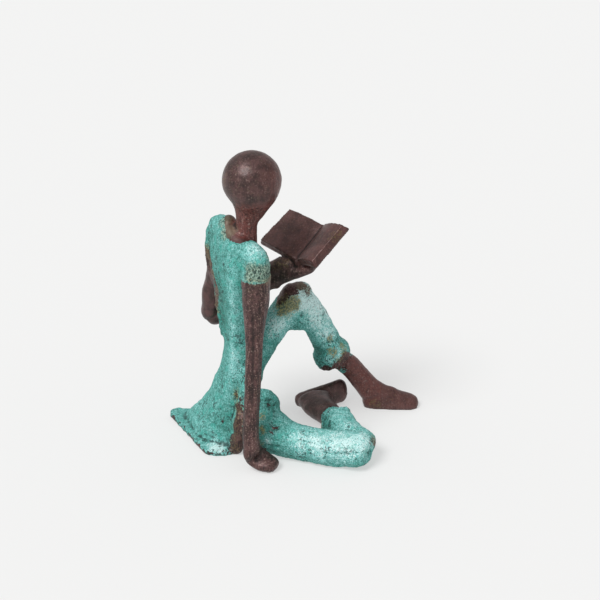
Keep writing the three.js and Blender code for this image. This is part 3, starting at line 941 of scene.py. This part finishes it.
def patina_left(wander, bare, bend, band, lip):
    """How much of the patina is left: none on bare metal, and less where it is worn."""
    patina = (1 - bare) * (1 - spots(wander, WORN)) * (1 - 0.15 * band - 0.45 * lip)
    for rim, width in WORN_STRIPS:
        patina *= 1 - stroke(wander, rim, width, 0.16)
    for rim in (LEFT_CUFF_RIM, RIGHT_CUFF_RIM):
        patina *= 1 - 0.4 * stroke(wander, rim, 0.8, 0)
    patina *= 1 - 0.3 * step(-bend, 0.5, 1.0)
    return np.clip(patina, 0, 1)


def olive_stain(wander, lip):
    return strongest(
        spots(wander, OLIVE),
        0.45 * stroke(wander, LEFT_RIM, 1.6, 0.04),
        0.5 * stroke(wander, RIGHT_RIM, 2.4, 0.08),
        0.45 * lip,
    )


def grey_dust(wander, band):
    return strongest(
        spots(wander, DUSTY),
        0.75 * band,
        0.5 * stroke(wander, LEFT_RIM, 1.0, 0.04),
        0.7 * stroke(wander, RIGHT_CUFF_RIM, 0.7, 0),
    )


def patina_tone_and_light(points, wander, upward):
    """How light the patina is drawn: painted light on upward faces, painted highlights on the
    back's ridge and the right cuff's rim, painted shade in the shaded patches, and the pale
    patches, partly paler patina and partly painted light.
    """
    # Painted light: the patina is drawn lighter on faces turned up towards the light
    tone_and_light = 0.38 + 0.14 * step(upward, -0.2, 0.9)
    # Pale patches are partly painted light; the shaded patches are painted shade
    tone_and_light += 0.56 * spots(wander, PALE_AND_LIT, 0.8) - 0.3 * spots(wander, PAINTED_SHADE_PATCHES, 0.8)
    # Painted highlights along the back's ridge and the right cuff's rim
    tone_and_light += 0.28 * stroke(wander, BACK_RIDGE, 2.4, 0.2) * step(points[:, 2], 16, 32)
    tone_and_light += 0.25 * stroke(wander, RIGHT_CUFF_RIM, 0.9, 0)
    return np.clip(tone_and_light, 0, 1)


def painted_crease_shade(points, wander, bare):
    """Painted shade along the creases, the hollow of the right arm and the fold of the right cuff.
    """
    lines = [
        0.75 * bare * stroke(points, ARM_HOLLOW, 0.9),
        0.55 * stroke(wander, RIGHT_CUFF_FOLD, 0.5, 0),
    ]
    for places, width, depth in CREASES:
        lines.append(min(1, 2 * depth) * stroke(wander, places, width * 0.9, 0.25))
    return strongest(*lines)


def reddish_metal(points, parts):
    return strongest(
        step(parts["neck"], 2.5, 1) * step(points[:, 2], NECK_TOP + 4, NECK_TOP),
        0.7 * step(parts["left_shin"], 2, 1),
        0.35 * step(parts["left_foot"], 2, 1),
        0.5 * step(parts["head"], 1, 0) * step(points[:, 0] - HEAD[0], 2, 9),
        0.25 * step(parts["book"], 2, 1),
    )


def grain_and_glint(points, parts, bare, band):
    """How strongly the cast's grain and the painted glints show, full on the cloth and by part on
    bare metal.
    """
    parts = dict(parts, neck=np.maximum(parts["neck"], points[:, 2] - NECK_TOP))
    rough = np.maximum(1 - bare, band)
    for part, much in GRAIN_AND_GLINT.items():
        rough = np.maximum(rough, much * bare * step(parts[part], 1.5, 0.5))
    return rough


def finish_map(clay, bare):
    """What the metal's surface is at each point, as named values from 0 to 1; some carry painted
    light and shade.
    """
    points = clay.points
    bend = clay.blurred(hollows(clay), 1)
    wander = wandering(wandering(points, 2.6, 1.1, 4), 0.9, 0.35, 5)
    band = stroke(wander, SLEEVE_END, 3.6, 0) * step(wander[:, 0], SLEEVE_LEFT - 1, SLEEVE_LEFT + 2)
    lip = band * step(wander[:, 2], SLEEVE_END_HEIGHT + 1.7, SLEEVE_END_HEIGHT + 0.5)
    parts = bare_parts(points)
    # Painted shade in the hollows and along the creases; on edges the value falls below 0.5, where
    # the colours paint a highlight
    dark = np.maximum(bend, painted_crease_shade(points, wander, bare))
    return {
        "patina": patina_left(wander, bare, bend, band, lip),
        "olive": olive_stain(wander, lip),
        "dust": grey_dust(wander, band),
        # The tone value carries painted light and shade as well as the patina's own tone
        "tone_and_light": patina_tone_and_light(points, wander, clay.normals()[:, 2]),
        "red": reddish_metal(points, parts),
        # The rough value also sets how strongly the bare metal's painted glints show
        "rough": grain_and_glint(points, parts, bare, band),
        # The crease value: painted shade in hollows and creases, and a painted highlight on edges
        "crease": np.clip(0.5 + 0.5 * dark, 0, 1),
    }


def keep_in_box(points):
    """The points held inside the CAD box."""
    low, high = (np.array(corner) / MM for corner in CAD_BOX)
    return np.clip(points, low, high)


def soften_jaw(clay):
    """Runs the ball of the head into the neck."""
    near_neck = step(outside_limb(clay.points, NECK), 3, 1.5)
    share = fade(np.abs(clay.points[:, 2] - JAW_HEIGHT), JAW_REACH) * near_neck
    clay.points = clay.blurred(clay.points, JAW_ROUNDS, 0.7 * share)


def modelled_skin():
    """The solid's form as worked wax, and where it is bare metal."""
    head = ball(HEAD, HEAD_ACROSS / 2)
    clay = Clay(even_skin(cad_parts[NODE], [head], SKIN_CELL))
    sole = clay.points[:, 2] < SOLE_HEIGHT
    clay.smooth(WAX_ROUNDS, softness(clay.points))
    soften_jaw(clay)
    for place, reach, by in PULLS:
        clay.grab(place, reach, by)
    bare = bare_metal(clay.points)
    clay.raise_by(relief(clay, bare))
    clay.points = clay.blurred(clay.points, 1, LAST_SHARE)
    clay.points[sole, 2] = 0
    clay.points = keep_in_box(clay.points)
    return clay, bare


def figurine():
    """The whole cast as one piece, in metres."""
    clay, bare = modelled_skin()
    finish = finish_map(clay, bare)
    clay.points = clay.points * MM
    clay.write()
    mesh = clay.mesh
    for name, values in finish.items():
        attribute = mesh.attributes.new(name, "FLOAT", "POINT")
        attribute.data.foreach_set("value", values.astype(np.float32))
    mesh.shade_smooth()
    mesh.name = "reading_child"
    piece = bpy.data.objects.new("reading_child", mesh)
    bpy.context.scene.collection.objects.link(piece)
    mesh.materials.clear()
    mesh.materials.append(patinated_bronze())
    return piece


# Materials

# Sockets of Blender's Mix node when it mixes colours
MIX_FIRST, MIX_SECOND, MIX_RESULT = 6, 7, 2


def colour(red, green, blue):
    """A linear colour from a screen colour of 0 to 255."""
    screen = np.array((red, green, blue)) / 255
    linear = np.where(screen <= 0.04045, screen / 12.92, ((screen + 0.055) / 1.055) ** 2.4)
    return (*linear, 1.0)


class Nodes:
    """Short names for building a node tree."""

    def __init__(self, material):
        material.use_nodes = True
        self.tree = material.node_tree
        self.tree.nodes.clear()

    def add(self, kind, inputs=None, **settings):
        node = self.tree.nodes.new("ShaderNode" + kind)
        for name, value in settings.items():
            setattr(node, name, value)
        for name, value in (inputs or {}).items():
            self.feed(node.inputs[name], value)
        return node

    def feed(self, socket, value):
        if isinstance(value, bpy.types.NodeSocket):
            self.tree.links.new(value, socket)
        else:
            socket.default_value = value

    def attribute(self, name):
        return self.add("Attribute", attribute_name=name).outputs["Fac"]

    def grain(self, where, scale, detail, roughness):
        inputs = {"Vector": where, "Scale": scale, "Detail": detail, "Roughness": roughness}
        return self.add("TexNoise", inputs).outputs["Fac"]

    def scaled(self, where, *scale):
        return self.add("Mapping", {"Vector": where, "Scale": scale}).outputs["Vector"]

    def maths(self, operation, *values):
        node = self.add("Math", operation=operation)
        for socket, value in zip(node.inputs, values):
            self.feed(socket, value)
        return node.outputs[0]

    def weighed(self, start, *pairs):
        """The start plus each value times its weight."""
        total = start
        for value, weight in pairs:
            total = self.maths("MULTIPLY_ADD", value, weight, total)
        return total

    def between(self, value, low, high, to_low=0.0, to_high=1.0):
        """The value mapped from one range to another, smoothly and held at both ends."""
        inputs = {"Value": value, "From Min": low, "From Max": high}
        inputs.update({"To Min": to_low, "To Max": to_high})
        node = self.add("MapRange", inputs, interpolation_type="SMOOTHSTEP")
        return node.outputs["Result"]

    def mix(self, share, first, second):
        node = self.add("Mix", data_type="RGBA", clamp_factor=True)
        self.feed(node.inputs["Factor"], share)
        self.feed(node.inputs[MIX_FIRST], first)
        self.feed(node.inputs[MIX_SECOND], second)
        return node.outputs[MIX_RESULT]

    def ramp(self, value, stops):
        """A colour for the value; stops are (position, colour) from low to high."""
        node = self.add("ValToRGB", {"Fac": value})
        elements = node.color_ramp.elements
        elements[0].position, elements[0].color = stops[0]
        elements[1].position, elements[1].color = stops[-1]
        for position, shade in stops[1:-1]:
            elements.new(position).color = shade
        return node.outputs["Color"]


class Grains:
    """What the bronze's colours share: noises scaled in millimetres, and values at each point."""

    def __init__(self, n):
        place = n.add("VectorMath", {0: n.add("TexCoord").outputs["Object"]}, operation="SCALE")
        place.inputs["Scale"].default_value = 1 / MM
        self.mm = place.outputs[0]
        self.blotch = n.grain(self.mm, 0.22, 3, 0.6)
        self.mottle = n.grain(self.mm, 0.8, 3, 0.65)
        self.fine = n.grain(self.mm, 1.7, 2, 0.6)
        self.grit = n.grain(self.mm, 2.9, 1, 0.5)
        self.streak = n.grain(n.scaled(self.mm, 1.5, 1.5, 0.14), 1.0, 2, 0.6)
        # The crease value: painted shade in hollows and creases, and a painted highlight on edges
        self.bend = n.attribute("crease")
        # The rough value: the grain's strength, which also sets the painted glints
        self.rough = n.attribute("rough")
        self.dirt = n.attribute("dust")
        dust = n.weighed(-0.6, (self.dirt, 1.0), (self.fine, 0.8), (self.mottle, 0.4))
        self.dust = n.between(dust, 0.1, 0.6, 0, 0.85)
        olive = n.weighed(-0.85, (n.attribute("olive"), 1.0), (self.fine, 1.1), (self.mottle, 0.6))
        self.olive = n.between(olive, 0.1, 0.8)


def ragged_cover(n, g):
    """Where the patina holds: its map broken up by grain, so that its edges are ragged."""
    cover = n.weighed(-1.0, (n.attribute("patina"), 0.9), (g.mottle, 0.8), (g.fine, 1.3))
    return n.between(cover, 0.4, 0.6)


def turquoise(n, g):
    """A deep teal to a chalky turquoise, with vivid spots and dark specks; its lightness carries
    painted light and shade.
    """
    tone_and_light = n.weighed(-0.93, (n.attribute("tone_and_light"), 0.9), (g.fine, 0.6), (g.mottle, 0.35))
    # Painted shade: the patina is drawn darker in the hollows and creases
    tone_and_light = n.weighed(tone_and_light, (g.blotch, 0.35), (g.grit, 0.7), (g.streak, 0.3), (g.bend, -0.25))
    stops = (
        (0.05, colour(28, 74, 66)),
        (0.3, colour(54, 122, 112)),
        (0.5, colour(84, 156, 148)),
        (0.72, colour(132, 198, 194)),
        (0.95, colour(206, 236, 234)),
    )
    vivid = n.between(n.grain(g.mm, 0.35, 2, 0.6), 0.52, 0.68, 0, 0.35)
    teal = n.mix(vivid, n.ramp(tone_and_light, stops), colour(28, 164, 148))
    speck = n.between(n.grain(g.mm, 1.9, 3, 0.75), 0.55, 0.63, 0, 0.7)
    return n.mix(speck, teal, colour(20, 60, 54))


def crackle(n, g):
    """Fine broken cracks, in clusters and where dust has settled."""
    clusters = n.between(n.grain(g.mm, 0.16, 2, 0.6), 0.48, 0.62, 0.1, 0.8)
    clusters = n.maths("MAXIMUM", clusters, n.maths("MULTIPLY", g.dirt, 1.25))
    squeezed = n.scaled(g.mm, 1.0, 1.0, 0.6)
    level = n.maths("SUBTRACT", n.grain(squeezed, 0.42, 3, 0.66), 0.5)
    crack = n.between(n.maths("ABSOLUTE", level), 0.06, 0.02, 0, 0.95)
    broken = n.between(n.grain(g.mm, 0.9, 1, 0.5), 0.47, 0.56)
    return n.maths("MULTIPLY", n.maths("MULTIPLY", crack, broken), clusters)


def patina_colour(n, g):
    """The turquoise with its dust, cracks and olive stains, and painted shade in the creases."""
    speckled = n.between(g.fine, 0.4, 0.62)
    dusty = n.mix(speckled, colour(62, 78, 66), colour(152, 172, 154))
    teal = n.mix(g.dust, turquoise(n, g), dusty)
    teal = n.mix(crackle(n, g), teal, colour(14, 38, 34))
    gold = n.mix(speckled, colour(70, 66, 34), colour(146, 134, 74))
    teal = n.mix(n.maths("MULTIPLY", g.olive, 0.85), teal, gold)
    # Painted shade in the hollows and creases
    return n.mix(n.between(g.bend, 0.72, 1.0, 0, 0.85), teal, colour(22, 44, 40))


def metal_colour(n, g):
    """The bare metal: dark brown, warmer in places, with dark pits, painted glints, painted shade
    in the hollows and a painted highlight on the edges.
    """
    metal = n.mix(n.between(g.blotch, 0.35, 0.65), colour(60, 42, 40), colour(90, 62, 60))
    metal = n.mix(n.between(g.mottle, 0.5, 0.75, 0, 0.5), metal, colour(76, 62, 44))
    warm = n.maths("MULTIPLY", n.attribute("red"), n.between(g.mottle, 0.3, 0.6, 0.3, 0.9))
    metal = n.mix(warm, metal, colour(112, 60, 54))
    pit = n.between(n.weighed(0, (g.fine, 0.5), (g.streak, 0.5)), 0.5, 0.38, 0, 0.75)
    metal = n.mix(n.maths("MULTIPLY", g.rough, pit), metal, colour(24, 15, 16))
    # Painted glints: light specks where the grain would catch the key light
    glint = n.weighed(0, (g.fine, 0.4), (g.grit, 0.3), (g.streak, 0.3))
    glint = n.maths("MULTIPLY", g.rough, n.between(glint, 0.53, 0.64, 0, 0.75))
    metal = n.mix(glint, metal, colour(158, 132, 124))
    metal = n.mix(n.maths("MULTIPLY", g.dust, 0.7), metal, colour(118, 108, 88))
    stain = n.maths("MULTIPLY", g.olive, n.between(g.fine, 0.42, 0.62, 0.1, 0.7))
    metal = n.mix(stain, metal, colour(104, 90, 54))
    # Painted shade in the hollows and creases, and a painted highlight on the edges
    metal = n.mix(n.between(g.bend, 0.66, 0.95, 0, 0.85), metal, colour(24, 17, 16))
    return n.mix(n.between(g.bend, 0.3, 0.05, 0, 0.3), metal, colour(110, 88, 82))


def cast_pits(n, g, cover):
    """The finest pits as a bump, deeper in the patina than on bare metal."""
    pits = n.weighed(0, (g.fine, 0.6), (g.mottle, 0.7), (g.grit, 0.3))
    depth = n.maths("MAXIMUM", n.between(cover, 0, 1, 0.2, 0.8), n.maths("MULTIPLY", g.rough, 0.5))
    height = n.maths("MULTIPLY", pits, depth)
    bump = n.add("Bump", {"Height": height, "Strength": 0.9, "Distance": 0.45 * MM})
    return bump.outputs["Normal"]


def patinated_bronze():
    """Bare dark bronze and turquoise patina, mixed by the values stored at each point."""
    material = bpy.data.materials.new("patinated_bronze")
    n = Nodes(material)
    g = Grains(n)
    cover = ragged_cover(n, g)
    sheen = n.weighed(0.2, (g.fine, 0.32), (g.rough, 0.08))
    dull = n.between(cover, 0, 1, 0, 0.42)
    shader = n.add("BsdfPrincipled")
    n.feed(shader.inputs["Base Color"], n.mix(cover, metal_colour(n, g), patina_colour(n, g)))
    n.feed(shader.inputs["Roughness"], n.maths("ADD", sheen, dull))
    n.feed(shader.inputs["Metallic"], n.between(cover, 0, 1, 0.35, 0.0))
    n.feed(shader.inputs["Normal"], cast_pits(n, g, cover))
    n.add("OutputMaterial", {"Surface": shader.outputs[0]})
    return material


# The studio, in metres

FLOOR_WIDTH = 12.0
FLOOR_GREY = (0.36, 0.36, 0.358, 1)
FLOOR_GLOW = (1, 1, 0.995, 1)
FLOOR_GLOW_STRENGTH = 0.475
SKY_WHITE = (1.0, 1.0, 1.0, 1)
SKY_STRENGTH = 0.62
KEY_FROM = Vector((-0.43, -0.41, 0.8))
KEY_STRENGTH = 2.2
KEY_SOFTNESS = math.radians(24)

# The camera, with its lens and sensor in millimetres
CAMERA_TARGET = at(0, 0, 42) * MM
CAMERA_DISTANCE = 0.589
CAMERA_ELEVATION = math.radians(25)
LENS = 100
SENSOR_WIDTH = 36


def light_table():
    """The pale floor: a matt sheet with some light of its own, so that shadows stay faint."""
    material = bpy.data.materials.new("light_table")
    n = Nodes(material)
    shader = n.add("BsdfPrincipled", {"Roughness": 0.9, "Base Color": FLOOR_GREY})
    shader.inputs["Specular IOR Level"].default_value = 0.0
    shader.inputs["Emission Color"].default_value = FLOOR_GLOW
    shader.inputs["Emission Strength"].default_value = FLOOR_GLOW_STRENGTH
    n.add("OutputMaterial", {"Surface": shader.outputs[0]})
    return material


def aim(obj, direction):
    """Turns a lamp or camera to look along a direction."""
    obj.rotation_euler = Vector(direction).to_track_quat("-Z", "Y").to_euler()


def pale_floor():
    """A wide plain floor under the figure."""
    mesh = bpy.data.meshes.new("floor")
    half = FLOOR_WIDTH / 2
    corners = [(-half, -half, 0), (half, -half, 0), (half, half, 0), (-half, half, 0)]
    mesh.from_pydata(corners, [], [(0, 1, 2, 3)])
    mesh.materials.append(light_table())
    floor = bpy.data.objects.new("floor", mesh)
    bpy.context.scene.collection.objects.link(floor)


def soft_light():
    """An even white sky and one broad key light from the upper left."""
    world = bpy.data.worlds.new("studio")
    world.use_nodes = True
    sky = world.node_tree.nodes["Background"]
    sky.inputs["Color"].default_value = SKY_WHITE
    sky.inputs["Strength"].default_value = SKY_STRENGTH
    bpy.context.scene.world = world

    lamp = bpy.data.lights.new("key", "SUN")
    lamp.energy = KEY_STRENGTH
    lamp.angle = KEY_SOFTNESS
    light = bpy.data.objects.new("key", lamp)
    light.location = KEY_FROM
    bpy.context.scene.collection.objects.link(light)
    aim(light, -KEY_FROM)


def camera():
    """The camera at the photograph's viewing angle, looking down at the figure."""
    lens = bpy.data.cameras.new("camera")
    lens.lens = LENS
    lens.sensor_width = SENSOR_WIDTH
    view = bpy.data.objects.new("camera", lens)
    back = Vector((0, -math.cos(CAMERA_ELEVATION), math.sin(CAMERA_ELEVATION)))
    view.location = Vector(CAMERA_TARGET) + CAMERA_DISTANCE * back
    bpy.context.scene.collection.objects.link(view)
    aim(view, -back)
    bpy.context.scene.camera = view


child = figurine()
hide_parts(NODE)
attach(child, "root")
pale_floor()
soft_light()
camera()
bpy.context.scene.view_settings.view_transform = "Standard"
